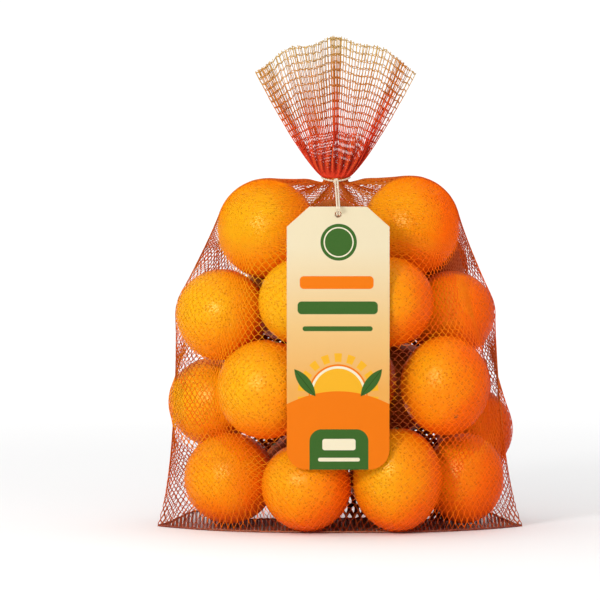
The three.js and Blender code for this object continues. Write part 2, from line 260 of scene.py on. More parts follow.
def part_pair(a, b):
    """Moves two oranges apart if they overlap."""
    away = [q - p for p, q in zip(a.middle, b.middle)]
    distance = math.sqrt(sum(value * value for value in away))
    if distance > NEVER_CLOSER:
        return
    away = [value / distance for value in away]
    across, up = math.hypot(away[0], away[1]), away[2]
    overlap = a.skin(across, up) + b.skin(across, up) + SKIN_GAP - distance
    if overlap <= 0:
        return
    for axis in range(3):
        a.middle[axis] -= away[axis] * overlap / 2
        b.middle[axis] += away[axis] * overlap / 2


def settled_oranges():
    """The oranges, moved apart until none overlap, close to where each one is listed."""
    fruit = [Orange(o, SEEN_PULL, ripe) for o, ripe in zip(SEEN_ORANGES, RIPENESS)]
    fruit += [Orange(o, HIDDEN_PULL, draws.uniform(0.2, 0.8)) for o in HIDDEN_ORANGES]
    pairs = [(a, b) for i, a in enumerate(fruit) for b in fruit[i + 1 :]]
    for turn in range(SETTLE_ROUNDS):
        if turn < SETTLE_ROUNDS - FREE_ROUNDS:
            for orange in fruit:
                for axis in range(3):
                    step = (orange.home[axis] - orange.middle[axis]) * orange.pull[axis]
                    orange.middle[axis] += step
        for a, b in pairs:
            part_pair(a, b)
        for orange in fruit:
            room = FRUIT_HALF_DEPTH - orange.half_width
            orange.middle[1] = min(max(orange.middle[1], -room), room)
            orange.middle[2] = max(orange.middle[2], orange.half_height + BASE_GAP)
    return fruit


def soft_noise(directions, seed, waves=7, low=1.5, high=4.5):
    """Smooth values from 0 to 1 over unit directions."""
    own = np.random.default_rng(seed)
    total = 0
    for _ in range(waves):
        wave = unit(own.normal(size=3)) * own.uniform(low, high)
        total = total + np.sin(directions @ wave + own.uniform(0, 2 * np.pi))
    return 0.5 + 0.5 * total / waves


def stem_axis(number, orange):
    """Where an orange's stem end points: to the back or the sides on those that show."""
    if number == MARKED_ORANGE:
        return unit(np.array([-0.25, 0.86, 0.62]))
    if number >= len(SEEN_ORANGES):
        return unit(draws.normal(size=3))
    turn = draws.uniform(0, 2 * np.pi)
    return unit(np.array([math.cos(turn), draws.uniform(-0.1, 0.25), math.sin(turn)]))


def orange_skin(number, orange):
    """Points of one orange, how far each is from its two ends, and its faces."""
    share = np.linspace(0, 1, FRUIT_RINGS + 1)[1:-1]
    polar = np.pi * share - 0.3 * np.sin(2 * np.pi * share)  # closer rings at both ends
    turn = np.arange(FRUIT_SEGMENTS) / FRUIT_SEGMENTS * 2 * np.pi
    polar, turn = [grid.ravel() for grid in np.meshgrid(polar, turn, indexing="ij")]
    polar = np.concatenate([[0], polar, [np.pi]])
    turn = np.concatenate([[0], turn, [0]])
    axis = stem_axis(number, orange)
    side = unit(np.cross(axis, [0.3, 0.2, 0.9]))
    other = np.cross(axis, side)
    directions = (
        np.sin(polar)[:, None] * (np.cos(turn)[:, None] * side + np.sin(turn)[:, None] * other)
        + np.cos(polar)[:, None] * axis
    )
    size = orange.half_width
    stem = polar * size
    blossom = (np.pi - polar) * size
    lobes = 1 + 0.25 * np.cos(5 * turn)
    inward = 0.55 * soft_noise(directions, 100 + number)
    inward += 1.5 * np.exp(-((stem / 6.5) ** 2)) + 0.7 * np.exp(-((blossom / 4.5) ** 2))
    inward += 0.22 * np.exp(-((stem - 9) / 6) ** 2) * (1 + np.cos(9 * turn))
    inward -= 1.2 * np.exp(-((stem / (2.6 * lobes)) ** 4))
    points = np.array(orange.middle) + directions * orange.halves() * (1 - inward / size)[:, None]
    rings = FRUIT_RINGS - 1
    at = 1 + np.arange(rings * FRUIT_SEGMENTS).reshape(rings, FRUIT_SEGMENTS)
    after = np.roll(at, -1, axis=1)
    quads = np.stack([at[:-1], at[1:], after[1:], after[:-1]], -1).reshape(-1, 4)
    last = len(points) - 1
    top = np.stack([np.zeros_like(at[0]), at[0], after[0]], -1)
    low = np.stack([np.full_like(at[-1], last), after[-1], at[-1]], -1)
    return points, stem, blossom, [quads, np.concatenate([top, low])]


def lit_facing(outward):
    """Painted light and shade: from 1 where a surface faces the lit side, on which the peel is painted
    palest, to -0.2 on the other side.
    """
    return np.maximum(outward @ unit(LIT_SIDE), -0.2)


def make_oranges(fruit, material):
    """All the oranges as one piece."""
    parts, looks = [], []
    for number, orange in enumerate(fruit):
        points, stem, blossom, faces = orange_skin(number, orange)
        outward = unit(points - np.array(orange.middle))
        # depth: each fruit's ripeness, deepened by painted shade away from the lit side
        depth = orange.ripeness - lit_facing(outward)
        # Painted shade: the hidden oranges' sides that face the front, into the bag, are darkened
        inside = np.clip(0.4 - outward[:, 1], 0, 1) * (number >= len(SEEN_ORANGES))
        parts.append((points, faces))
        looks.append((stem, blossom, depth, inside))
    points, faces = joined(parts)
    values = dict(zip(("stem", "blossom", "depth", "inside"), np.hstack(looks)))
    return mesh_object("oranges", points, faces, material, **values)


# The drawn-in form of the net


def level(half_width, half_depth, height, curve, middle=0.0):
    """Evenly spaced points round one level of the bag, from the right corner by the front."""
    angle = np.arange(COLUMNS * 6 + 1) / (COLUMNS * 6) * 2 * np.pi
    across = np.cos(angle)
    depth = half_depth * np.maximum(0, 1 - np.abs(across) ** curve[0]) ** curve[1]
    side = np.where(np.sin(angle) > 0, -1, 1)
    x, y = middle + half_width * across, side * depth
    run = np.concatenate([[0], np.cumsum(np.hypot(np.diff(x), np.diff(y)))])
    places = np.arange(COLUMNS) / COLUMNS * run[-1]
    columns = [np.interp(places, run, x), np.interp(places, run, y), np.full(COLUMNS, height)]
    return np.stack(columns, -1).astype(float)


def hem_lift(x):
    """How far the back of the hem rises off the surface."""
    from_corner = np.minimum(1, (HEM_HALF_WIDTH - np.abs(x)) / HEM_LIFT_REACH)
    return HEM_LIFT * np.sin(from_corner * np.pi) ** 2


def hem_row(height):
    row = level(HEM_HALF_WIDTH, HEM_HALF_DEPTH, height, HEM_CURVE)
    row[:, 2] += np.where(row[:, 1] > 0, hem_lift(row[:, 0]), 0)
    return row


def mixed(start, end, share):
    return [a + (b - a) * share for a, b in zip(start, end)]


def loose_rows():
    """The loose net before it is drawn in: rows of points from the hem up to the neck."""
    rows = [hem_row(0), hem_row(HEM_HEIGHT)]
    hem = (HEM_HALF_WIDTH, HEM_HALF_DEPTH)
    body = (BODY_HALF_WIDTH, BODY_HALF_DEPTH)
    neck = (NECK_RADIUS + NECK_FLARE, NECK_RADIUS + NECK_FLARE)
    for i in range(1, SIDE_ROWS + 1):
        share = i / SIDE_ROWS
        filled = min(1, share * 6) ** 0.6
        height = HEM_HEIGHT + (SHOULDER_HEIGHT - HEM_HEIGHT) * share
        rows.append(level(*mixed(hem, body, filled), height, mixed(HEM_CURVE, BODY_CURVE, filled)))
    for i in range(1, SHOULDER_ROWS + 1):
        share = i / SHOULDER_ROWS
        height = SHOULDER_HEIGHT + (NECK[2] - NECK_DROP - SHOULDER_HEIGHT) * share
        curve = mixed(BODY_CURVE, NECK_CURVE, share)
        rows.append(level(*mixed(body, neck, share), height, curve, NECK[0] * share))
    return np.array(rows)


def last_skin(fruit, starts, directions):
    """How far along each ray the last orange that it meets ends, or 0."""
    furthest = np.zeros(starts.shape[:-1])
    for orange in fruit:
        scale = orange.halves(NET_GAP)
        origin = (starts - np.array(orange.middle)) / scale
        along = directions / scale
        a = (along**2).sum(-1)
        b = (origin * along).sum(-1)
        inside = b * b - a * ((origin**2).sum(-1) - 1)
        reach = (-b + np.sqrt(np.maximum(inside, 0))) / a
        furthest = np.where(inside > 0, np.maximum(furthest, reach), furthest)
    return furthest


def taut_rows(fruit):
    """The net drawn in: each point slides along its own ray until the threads or an orange stop it."""
    rows = loose_rows()
    starts = np.clip(rows, CORE_LOW, CORE_HIGH)
    directions = unit(rows - starts)
    least = last_skin(fruit, starts, directions)
    row, column = np.indices(rows.shape[:2])
    for turn in range(2 * TENSION_ROUNDS):
        pull, total = 0, 0
        for shift, axis, strength in ((1, 0, UPRIGHT_PULL), (-1, 0, UPRIGHT_PULL), (1, 1, 1), (-1, 1, 1)):
            neighbour = np.roll(rows, shift, axis)
            weight = strength / np.maximum(np.linalg.norm(neighbour - rows, axis=-1), 1e-6)
            pull = pull + neighbour * weight[..., None]
            total = total + weight
        reach = ((pull / total[..., None] - starts) * directions).sum(-1)
        moved = starts + directions * np.maximum(least, reach)[..., None]
        due = ((row + column + turn) % 2 == 0) & (row >= 2) & (row < len(rows) - 1)
        rows = np.where(due[..., None], moved, rows)
    return rows


def neck_fade(points):
    return np.exp(-np.linalg.norm(points - NECK, axis=-1) / GATHER_REACH)


def net_form(fruit):
    """The net's outside from the hem to the string, with its gathers below the neck."""
    rows = taut_rows(fruit)
    wave = np.cos(np.arange(COLUMNS) / COLUMNS * GATHERS * 2 * np.pi)
    rows[2:-1, :, 2] += GATHER_DEPTH * 2 * neck_fade(rows[2:-1]) * wave
    angle = np.arange(COLUMNS) / COLUMNS * 2 * np.pi
    ring = np.stack([np.cos(angle), -np.sin(angle), np.zeros(COLUMNS)], -1)
    return np.concatenate([rows, [NECK + NECK_RADIUS * ring]])


def four_weights(t):
    """Weights of the four nearest values at share t between the middle two."""
    return np.stack(
        [
            ((-t + 2) * t - 1) * t / 2,
            (3 * t - 5) * t * t / 2 + 1,
            ((-3 * t + 4) * t + 1) * t / 2,
            (t - 1) * t * t / 2,
        ]
    )


def on_net(form, row, column):
    """Smooth points of the net at fractional rows and columns."""
    last = len(form) - 1
    row = np.clip(row, 0, last)
    r = np.minimum(np.floor(row).astype(int), last - 1)
    c = np.floor(column).astype(int)
    up, across = four_weights(row - r), four_weights(column - c)
    point = 0
    for i in range(4):
        near = form[np.clip(r + i - 1, 0, last)[..., None], (c[..., None] + np.arange(-1, 3)) % COLUMNS]
        for j in range(4):
            point = point + (up[i] * across[j])[..., None] * near[..., j, :]
    return point


def net_outward(form, row, column, step=0.3):
    """Unit directions out of the net."""
    up = on_net(form, row + step, column) - on_net(form, row - step, column)
    across = on_net(form, row, column + step) - on_net(form, row, column - step)
    return unit(np.cross(up, across))


def clear_of_oranges(points, fruit, clearance):
    """Moves points that are nearer than a clearance to an orange out to that distance."""
    for orange in fruit:
        scale = orange.halves(clearance)
        middle = np.array(orange.middle)
        place = (points - middle) / scale
        depth = np.linalg.norm(place, axis=-1, keepdims=True)
        points = np.where(depth < 1, middle + place / np.maximum(depth, 1e-6) * scale, points)
    return points


def peel_below(points, fruit):
    """The distance from each point to the nearest orange, and how deep in colour the peel is there, with its
    painted light and shade.
    """
    gap = np.full(points.shape[:-1], 100.0)
    depth = np.zeros(points.shape[:-1])
    for orange in fruit:
        away = points - np.array(orange.middle)
        own_gap = (np.linalg.norm(away / orange.halves(), axis=-1) - 1) * orange.half_width
        nearer = own_gap < gap
        gap = np.where(nearer, own_gap, gap)
        depth = np.where(nearer, orange.ripeness - lit_facing(unit(away)), depth)
    return np.maximum(gap - NET_GAP, 0), depth


def openness(points, fruit):
    """1 where a point of the net in front has none of the seen oranges straight behind it."""
    bare = np.ones(points.shape[:-1])
    start, end = OPEN_EDGE
    for orange in fruit[: len(SEEN_ORANGES)]:
        away = (points - np.array(orange.middle)) / orange.halves()
        bare = np.minimum(bare, (away[..., 0] ** 2 + away[..., 2] ** 2 - start) / (end - start))
    return np.clip(bare, 0, 1)


# Threads


def tubes(paths, outward, half_width, half_height, sides, closed=False):
    """Points and faces of closed tubes along paths, given as an array of (path, point, xyz)."""
    count, length = paths.shape[:2]
    if closed:
        along = unit(np.roll(paths, -1, 1) - np.roll(paths, 1, 1))
    else:
        along = unit(np.gradient(paths, axis=1))
    across = unit(np.cross(along, outward))
    upward = np.cross(across, along)
    angles = (np.arange(sides) + 0.5) / sides * 2 * np.pi
    half_width = np.broadcast_to(half_width, (count, length))[..., None, None]
    half_height = np.broadcast_to(half_height, (count, length))[..., None, None]
    ring = across[:, :, None] * np.cos(angles)[:, None] * half_width
    ring = ring + upward[:, :, None] * np.sin(angles)[:, None] * half_height
    points = (paths[:, :, None] + ring).reshape(-1, 3)
    at = np.arange(count * length * sides).reshape(count, length, sides)
    after = np.roll(at, -1, axis=2)
    if closed:
        low, low_after = at, after
        high, high_after = np.roll(at, -1, axis=1), np.roll(after, -1, axis=1)
    else:
        low, low_after, high, high_after = at[:, :-1], after[:, :-1], at[:, 1:], after[:, 1:]
    faces = [np.stack([low, high, high_after, low_after], -1).reshape(-1, 4)]
    if not closed:
        faces += [at[:, 0], at[:, -1, ::-1]]
    return points, faces


def joined(parts):
    """Several sets of points and faces as one, with the faces grouped by their number of corners."""
    points, by_size, count = [], {}, 0
    for part_points, face_sets in parts:
        for faces in face_sets:
            by_size.setdefault(faces.shape[1], []).append(faces + count)
        points.append(part_points)
        count += len(part_points)
    return np.concatenate(points), [np.concatenate(sets) for sets in by_size.values()]


def net_threads(form, fruit):
    """Zigzag threads of the bag: paths, outward directions and each point's values for its looks."""
    half_columns = 2 * CELLS_ROUND
    levels = 2 * (SIDE_CELLS + SHOULDER_CELLS) + 1
    thread, height = np.indices((half_columns, levels))
    own = (thread + height) % 2 == 0
    knot = np.where(own, thread, thread + 1)
    drift = draws.normal(0, 0.11, (2, half_columns, levels))
    drift[:, :, -3:] = 0
    drift[:, :, 0] = 0
    knot_drift = drift[:, knot % half_columns, height]
    slack = 0.35 * np.sin(knot * 0.21 + height * 0.13) + 0.25 * np.sin(knot * 0.08 - height * 0.3)
    place = knot + np.where(own, 1, -1) * LINK_SPREAD + knot_drift[0]
    side_levels, last_level = 2 * SIDE_CELLS, levels - 1
    rise = height + knot_drift[1] + slack * np.sin(np.pi * height / last_level)
    place = np.repeat(place, 2, axis=1)
    rise = np.repeat(rise, 2, axis=1) + np.tile([-LINK / 2, LINK / 2], levels)
    rise = np.clip(rise, 0, last_level)
    last_row = SIDE_ROWS + SHOULDER_ROWS + 2
    row = np.interp(rise, [0, side_levels, last_level], [0.4, SIDE_ROWS + 1, last_row])
    column = place / half_columns * COLUMNS
    up_shoulder = np.clip((rise - side_levels) / (last_level - side_levels), 0, 1)
    crowding = RIDGE_CROWDING * np.sin(np.pi * up_shoulder**0.7) ** 2
    quarter = 4 * np.pi / COLUMNS
    column = column - crowding * np.sin(quarter * column) / quarter
    fade = neck_fade(on_net(form, row, column))
    wave = GATHERS * 2 * np.pi / COLUMNS
    column = column - BUNCHING * np.minimum(1, 1.6 * fade) * np.sin(wave * column) / wave
    outward = net_outward(form, row, column)
    points = on_net(form, row, column) - outward * THREAD_INSET
    points = clear_of_oranges(points, fruit, NET_GAP - THREAD_INSET)
    points[..., 2] = np.maximum(points[..., 2], THREAD_RADIUS + THREAD_FLOOR_GAP)
    crest = 0.5 + 0.5 * np.cos(wave * column)
    from_ridge = np.abs((column / COLUMNS * 2 + 0.5) % 1 - 0.5) / 2
    ridge = np.exp(-((from_ridge / RIDGE_WIDTH) ** 2)) * np.clip(up_shoulder * 4 - 2, 0, 1)
    gap, depth = peel_below(points, fruit)
    values = {"neck": neck_fade(points), "crest": crest, "ridge": ridge, "gap": gap, "depth": depth}
    return points, outward, values


def make_net(form, fruit, material):
    """The front half and the back half of the knitted bag."""
    points, outward, values = net_threads(form, fruit)
    made = []
    for name, chosen in (("net_front", slice(0, CELLS_ROUND)), ("net_back", slice(CELLS_ROUND, None))):
        is_front = name == "net_front"
        paths = points[chosen]
        x, z = paths[..., 0], paths[..., 2]
        own = {key: value[chosen] for key, value in values.items()}
        gap = own.pop("gap")
        bare = openness(paths, fruit)
        from_fold = np.min([np.hypot(x - fold_x, z - fold_z) for fold_x, fold_z in FOLDS], axis=0)
        own["fold"] = np.exp(-((from_fold / FOLD_REACH) ** 4)) * (not is_front)
        touch = np.exp(-((gap / TOUCH_REACH) ** 2)) * (1 - own["fold"])
        own["touch"] = np.maximum(touch, (1 - bare) * FRONT_TOUCH * is_front)
        own["open"] = bare * (1 - own["neck"]) * is_front
        loose = np.clip((gap - 3) / 6, 0, 1) * np.interp(np.abs(x), LOOSE_REACH, [0, 1])
        growth = NECK_GROWTH * own["neck"] + RIDGE_GROWTH * own["ridge"]
        growth = growth + FOLD_GROWTH * own["fold"] + LOOSE_GROWTH * loose
        radius = THREAD_RADIUS * (1 + growth - OPEN_THINNING * own["open"])
        room = np.maximum(z - THREAD_FLOOR_GAP / 2, THREAD_RADIUS * 0.7)
        radius = np.minimum(radius, room)
        tube_points, faces = tubes(paths, outward[chosen], radius, radius, 3)
        spread = {key: np.repeat(value.ravel(), 3) for key, value in own.items()}
        half = mesh_object(name, tube_points, faces, material, **spread)
        # The net in front neither shades the peel nor throws light on it
        half.visible_shadow = not is_front
        half.visible_diffuse = not is_front
        made.append(half)
    return made


def make_base(material):
    """The flat net between the front and the back of the hem."""
    columns = int(BASE_LEVELS * BASE_CELL_RATIO)
    thread, height = np.indices((columns, BASE_LEVELS))
    own = (thread + height) % 2 == 0
    place = np.where(own, thread + LINK_SPREAD, thread + 1 - LINK_SPREAD)
    place = np.repeat(place, 2, axis=1) / columns * 2 - 1
    share = (np.arange(BASE_LEVELS)[:, None] + [-LINK / 2, LINK / 2]).ravel() / (BASE_LEVELS - 1)
    share = np.broadcast_to(np.clip(share, 0, 1), place.shape)
    x = place * (HEM_HALF_WIDTH - 2)
    depth = HEM_HALF_DEPTH * (1 - np.abs(x / HEM_HALF_WIDTH) ** 3) - HEM_RADIUS
    y = (share * 2 - 1) * depth
    z = THREAD_RADIUS + THREAD_FLOOR_GAP + hem_lift(x) * share
    points = np.stack([x, y, z], -1)
    up = np.broadcast_to([0.0, 0.0, 1.0], points.shape)
    tube_points, faces = tubes(points, up, THREAD_RADIUS, THREAD_RADIUS, 3)
    return mesh_object("net_base", tube_points, faces, material)


def make_hem(material):
    """The rolled edge round the base, front and back."""
    row = hem_row(0)
    fine = np.linspace(0, COLUMNS, COLUMNS * 8, endpoint=False)
    whole = np.floor(fine).astype(int)
    share = (fine - whole)[:, None]
    path = row[whole % COLUMNS] * (1 - share) + row[(whole + 1) % COLUMNS] * share
    path[:, 0] *= (HEM_HALF_WIDTH - HEM_RADIUS) / HEM_HALF_WIDTH
    path[:, 1] *= (HEM_HALF_DEPTH - HEM_RADIUS) / HEM_HALF_DEPTH
    wobble = np.sin(fine * 5.1) * 0.12 + np.sin(fine * 2.3 + 1) * 0.1
    path[:, 2] += HEM_RADIUS + 0.25 + wobble
    radius = HEM_RADIUS * (1 + 0.16 * np.sin(fine * 9.7) + 0.1 * np.sin(fine * 4.1 + 2))
    up = np.broadcast_to([0.0, 0.0, 1.0], path.shape)[None]
    points, faces = tubes(path[None], up, radius[None], radius[None] * 0.85, 8, closed=True)
    return mesh_object("net_hem", points, faces, material)


def fold_place(pillar):
    """Place across and depth of upright threads in the fan's folds."""
    across = [fold[0] for fold in FAN_FOLDS] + [FAN_FOLDS[0][0]]
    depth = [fold[1] for fold in FAN_FOLDS] + [FAN_FOLDS[0][1]]
    run = np.concatenate([[0], np.cumsum([fold[2] for fold in FAN_FOLDS])])
    pillar = pillar % run[-1]
    return np.interp(pillar, run, across), np.interp(pillar, run, depth)


def on_fan(share, pillar):
    """Points of the fan at a share of its rise, for fractional upright threads."""
    angle = pillar / FAN_THREADS * 2 * np.pi
    folded, depth = fold_place(pillar)
    spread = np.minimum(1, share * 3)
    across = np.cos(angle) + (folded - np.cos(angle)) * spread
    side = -np.sin(angle) + (depth + np.sin(angle)) * spread
    half_width = NECK_RADIUS + (FAN_HALF_WIDTH - NECK_RADIUS) * share**0.8
    half_depth = NECK_RADIUS + (FAN_HALF_THICKNESS - NECK_RADIUS) * share**0.5
    fold = np.sin(across * 5.2 + 0.5) + 0.45 * np.sin(across * 11 + 1.7)
    rise = FAN_RISE - (FAN_RISE - FAN_EDGE_RISE) * across * across
    ripple = FAN_RIPPLE * np.cos(across * 10.3)
    x = NECK[0] + half_width * across
    y = half_depth * side * (1 + 0.3 * pleat(share, pillar)) + FAN_FOLD * share * fold
    z = NECK[2] + share * (rise + ripple)
    return np.stack([x, y, z], -1), across


def pleat(share, pillar):
    """From 1 on the crests of the fan's pleats to -1 between them, fading out above the neck."""
    fade = np.minimum(1, share * 10) * np.exp(-((share / 0.32) ** 2))
    return np.cos(pillar / FAN_THREADS * 2 * np.pi * (GATHERS + 4)) * fade


def fan_redness(share, across):
    """From 1 at the neck to 0 at the top edge, redder in the middle fold and the right band."""
    red = 1 - share
    red = red + 0.3 * np.exp(-((across / 0.07) ** 2)) * (1 - share)
    red = red + 0.28 * np.exp(-(((across - 0.83) / 0.1) ** 2))
    return np.clip(red + 0.12 * np.exp(-(((across + 0.93) / 0.1) ** 2)), 0, 1)


def make_fan(material):
    """The fan of net above the string: upright threads and the short threads between them."""
    steps = FAN_CELLS * 3
    drift = np.cumsum(draws.normal(0, 0.035, (FAN_THREADS, steps + 1)), axis=1)
    drift -= drift.mean(1, keepdims=True)
    share = np.broadcast_to(np.linspace(0, 1, steps + 1), drift.shape) * 1.0
    over = draws.uniform(0, 0.018, (FAN_THREADS, 1))
    share = np.where(share > 0.99, share + over, share)
    pillar = np.arange(FAN_THREADS)[:, None] + drift * np.minimum(1, share * 4)
    paths, across = on_fan(share, pillar)
    front = np.broadcast_to([0.0, -1.0, 0.0], paths.shape)
    width = FAN_WIDTH[0] - (FAN_WIDTH[0] - FAN_WIDTH[1]) * share
    parts = [tubes(paths, front, width, width * 0.6, 4)]
    redness = [np.repeat(fan_redness(share, across).ravel(), 4)]
    pleats = [np.repeat(pleat(share, pillar).ravel(), 4)]

    row = np.arange(1, FAN_CELLS + 1)[None, :, None] / FAN_CELLS
    start = np.arange(FAN_THREADS)[:, None, None]
    middle = np.array([0, 0.5, 1])[None, None, :]
    dip = draws.normal(0, 0.12, (FAN_THREADS, FAN_CELLS, 1)) * 4 * middle * (1 - middle)
    dip = dip + 0.132 * ((start % 2) * 2 - 1) * (1 - 2 * middle)
    share = np.clip(row + (dip - 0.1) / FAN_CELLS, 0, 1.02)
    knot_drift = drift[:, 3::3]
    own = knot_drift[:, :, None]
    after = np.roll(knot_drift, -1, axis=0)[:, :, None]
    pillar = start + middle + own * (1 - middle) + after * middle
    paths, across = on_fan(share, pillar)
    paths = paths.reshape(-1, 3, 3)
    front = np.broadcast_to([0.0, -1.0, 0.0], paths.shape)
    parts.append(tubes(paths, front, 0.4, 0.32, 3))
    redness.append(np.repeat(fan_redness(share, across).ravel(), 3))
    pleats.append(np.repeat(pleat(share, pillar).ravel(), 3))
    points, faces = joined(parts)
    values = {"redness": np.concatenate(redness), "pleat": np.concatenate(pleats)}
    return mesh_object("net_fan", points, faces, material, **values)


# Twine


def run_along(points):
    """How far along a line of points each of them lies."""
    return np.concatenate([[0], np.cumsum(np.linalg.norm(np.diff(points, axis=0), axis=1))])


def smooth_route(points, spacing):
    """Evenly spaced points on a smooth line through the given points."""
    points = np.array(points, float)
    ends = [2 * points[0] - points[1], 2 * points[-1] - points[-2]]
    padded = np.concatenate([[ends[0]], points, [ends[1]]])
    share = np.linspace(0, len(points) - 1, 40 * len(points))
    whole = np.minimum(share.astype(int), len(points) - 2)
    weights = four_weights(share - whole)
    fine = sum(weights[i][:, None] * padded[whole + i] for i in range(4))
    run = run_along(fine)
    places = np.linspace(0, run[-1], max(8, int(run[-1] / spacing)))
    return np.stack([np.interp(places, run, fine[:, axis]) for axis in range(3)], -1)


def twine(route, reference):
    """Two plies twisted round a route."""
    along = unit(np.gradient(route, axis=0))
    side = unit(np.cross(along, reference))
    other = np.cross(along, side)
    plies = []
    for start in (0, np.pi):
        turn = (run_along(route) / TWINE_TURN * 2 * np.pi + start)[:, None]
        swing = side * np.cos(turn) + other * np.sin(turn)
        plies.append(route + swing * (TWINE_RADIUS - PLY_RADIUS))
    paths = np.array(plies)
    return tubes(paths, np.broadcast_to(reference, paths.shape), PLY_RADIUS, PLY_RADIUS, 7)


def make_twine(tag_back, tag_top, tag_middle, material):
    """The loop round the neck, its knot, the two strands that carry the card, and their knot."""
    loop_radius = NECK_RADIUS + TWINE_GAP + TWINE_RADIUS
    angle = np.linspace(0, 2 * np.pi, 240)
    sag = LOOP_SAG * np.maximum(0, -np.sin(angle)) ** 1.5
    loop = NECK + np.stack([loop_radius * np.cos(angle), loop_radius * np.sin(angle), -sag], -1)
    parts = [twine(loop, np.array([0.0, 0.0, 1.0]))]
    turn = np.linspace(0, 4 * np.pi, 70)
    drop = np.linspace(-1.1, 1.1, len(turn))
    wrap = np.stack([1.5 * np.cos(turn) + drop * 0.5, drop * 0.4, 1.3 * np.sin(turn) + drop * 0.4], -1)
    knot = NECK + np.array([0, -loop_radius - 0.9, -LOOP_SAG])
    parts.append(twine(knot + wrap, np.array([0.0, 1.0, 0.0])))
    hole = tag_top - HOLE_INSET
    face = tag_back + tag_lean(hole) - TAG_THICKNESS
    parts.append(twine([tag_middle, face + 5, hole - 1] + wrap * 1.3, np.array([0.0, 1.0, 0.0])))
    for side in (-1, 1):
        x = tag_middle + side * (TWINE_RADIUS + 0.1)
        route = [
            (NECK[0] + side * 0.8, -loop_radius - 1, NECK[2] - LOOP_SAG),
            (NECK[0] * 0.6 + tag_middle * 0.4 + side, -loop_radius - 14, NECK[2] - 4.5),
            (x, face - 3, hole + 8),
            (x, face - 2, hole + 2),
            (x, face + 1, hole - 0.3),
            (x, face + 5, hole - 1),
        ]
        parts.append(twine(smooth_route(route, 0.5), np.array([1.0, 0.1, 0.0])))
    points, faces = joined(parts)
    return mesh_object("twine", points, faces, material)


def tag_lean(height):
    """How far the card leans back at a height."""
    return max(0, height - TAG_BEND_START) ** 2 / (2 * TAG_BEND_RADIUS)


# Materials


class Shader:
    """A material's nodes, with short names for those that are used often."""

    def __init__(self, name):
        self.material = bpy.data.materials.new(name)
        self.material.use_nodes = True
        self.tree = self.material.node_tree
        self.skin = self.tree.nodes["Principled BSDF"]
        place = self.node("ShaderNodeTexCoord")
        self.place = place.outputs["Object"]

    def node(self, kind, inputs=(), **settings):
        made = self.tree.nodes.new(kind)
        for key, value in settings.items():
            setattr(made, key, value)
        for key, value in dict(inputs).items():
            self.join(value, made.inputs[key])
        return made

    def join(self, value, socket):
        if isinstance(value, bpy.types.NodeSocket):
            self.tree.links.new(value, socket)
        else:
            socket.default_value = value

    def math(self, operation, a, b=0.0, c=0.0):
        return self.node("ShaderNodeMath", {0: a, 1: b, 2: c}, operation=operation).outputs[0]

    def smooth(self, value, low, high, start=0.0, end=1.0):
        inputs = {"Value": value, "From Min": low, "From Max": high, "To Min": start, "To Max": end}
        return self.node("ShaderNodeMapRange", inputs, interpolation_type="SMOOTHSTEP").outputs[0]

    def mix(self, share, a, b, blend="MIX"):
        made = self.node("ShaderNodeMix", data_type="RGBA", blend_type=blend)
        self.join(share, made.inputs[0])
        self.join(a, made.inputs[6])
        self.join(b, made.inputs[7])
        return made.outputs[2]

    def ramp(self, value, stops):
        made = self.node("ShaderNodeValToRGB", {0: value})
        colours = made.color_ramp.elements
        while len(colours) < len(stops):
            colours.new(0.5)
        for element, (position, colour) in zip(colours, stops):
            element.position = position
            element.color = (*colour, 1)
        return made.outputs[0]

    def value(self, name):
        return self.node("ShaderNodeAttribute", attribute_name=name).outputs["Fac"]

    def split(self, vector):
        return self.node("ShaderNodeSeparateXYZ", {0: vector}).outputs

    def facing_back(self):
        """From -1 where the surface faces the front to 1 where it faces the back."""
        return self.split(self.node("ShaderNodeNewGeometry").outputs["Normal"])[1]

    def noise(self, size, detail=2.0):
        """Noise with features of a size in millimetres, from 0 to 1."""
        inputs = {"Vector": self.place, "Scale": 1 / (size * MM), "Detail": detail}
        return self.node("ShaderNodeTexNoise", inputs).outputs["Fac"]

    def bump(self, height, depth, strength=1.0):
        """A relief of a depth in millimetres."""
        inputs = {"Height": height, "Distance": depth * MM, "Strength": strength}
        return self.node("ShaderNodeBump", inputs).outputs["Normal"]

    def finish(self, **inputs):
        for key, value in inputs.items():
            self.join(value, self.skin.inputs[key.replace("_", " ")])
        return self.material


def colour(*values):
    return (*values, 1.0)


def peel_colour(shader):
    """Yellow orange on the painted lit side of each fruit to red orange on its painted shaded side, deepened
    by ripeness, in soft patches.
    """
    patches = shader.math("MULTIPLY_ADD", shader.noise(26, 3), 0.3, 0.1)
    mottling = shader.math("MULTIPLY_ADD", shader.noise(3, 2), 0.2, patches)
    # depth holds ripeness with painted light and shade from the lit side
    place = shader.math("MULTIPLY_ADD", shader.value("depth"), 0.5, mottling)
    return shader.ramp(
        place,
        [
            (0, (0.8, 0.36, 0.005)),
            (0.22, (0.84, 0.245, 0.003)),
            (0.5, (0.86, 0.12, 0.002)),
            (0.85, (0.72, 0.07, 0.001)),
        ],
    )


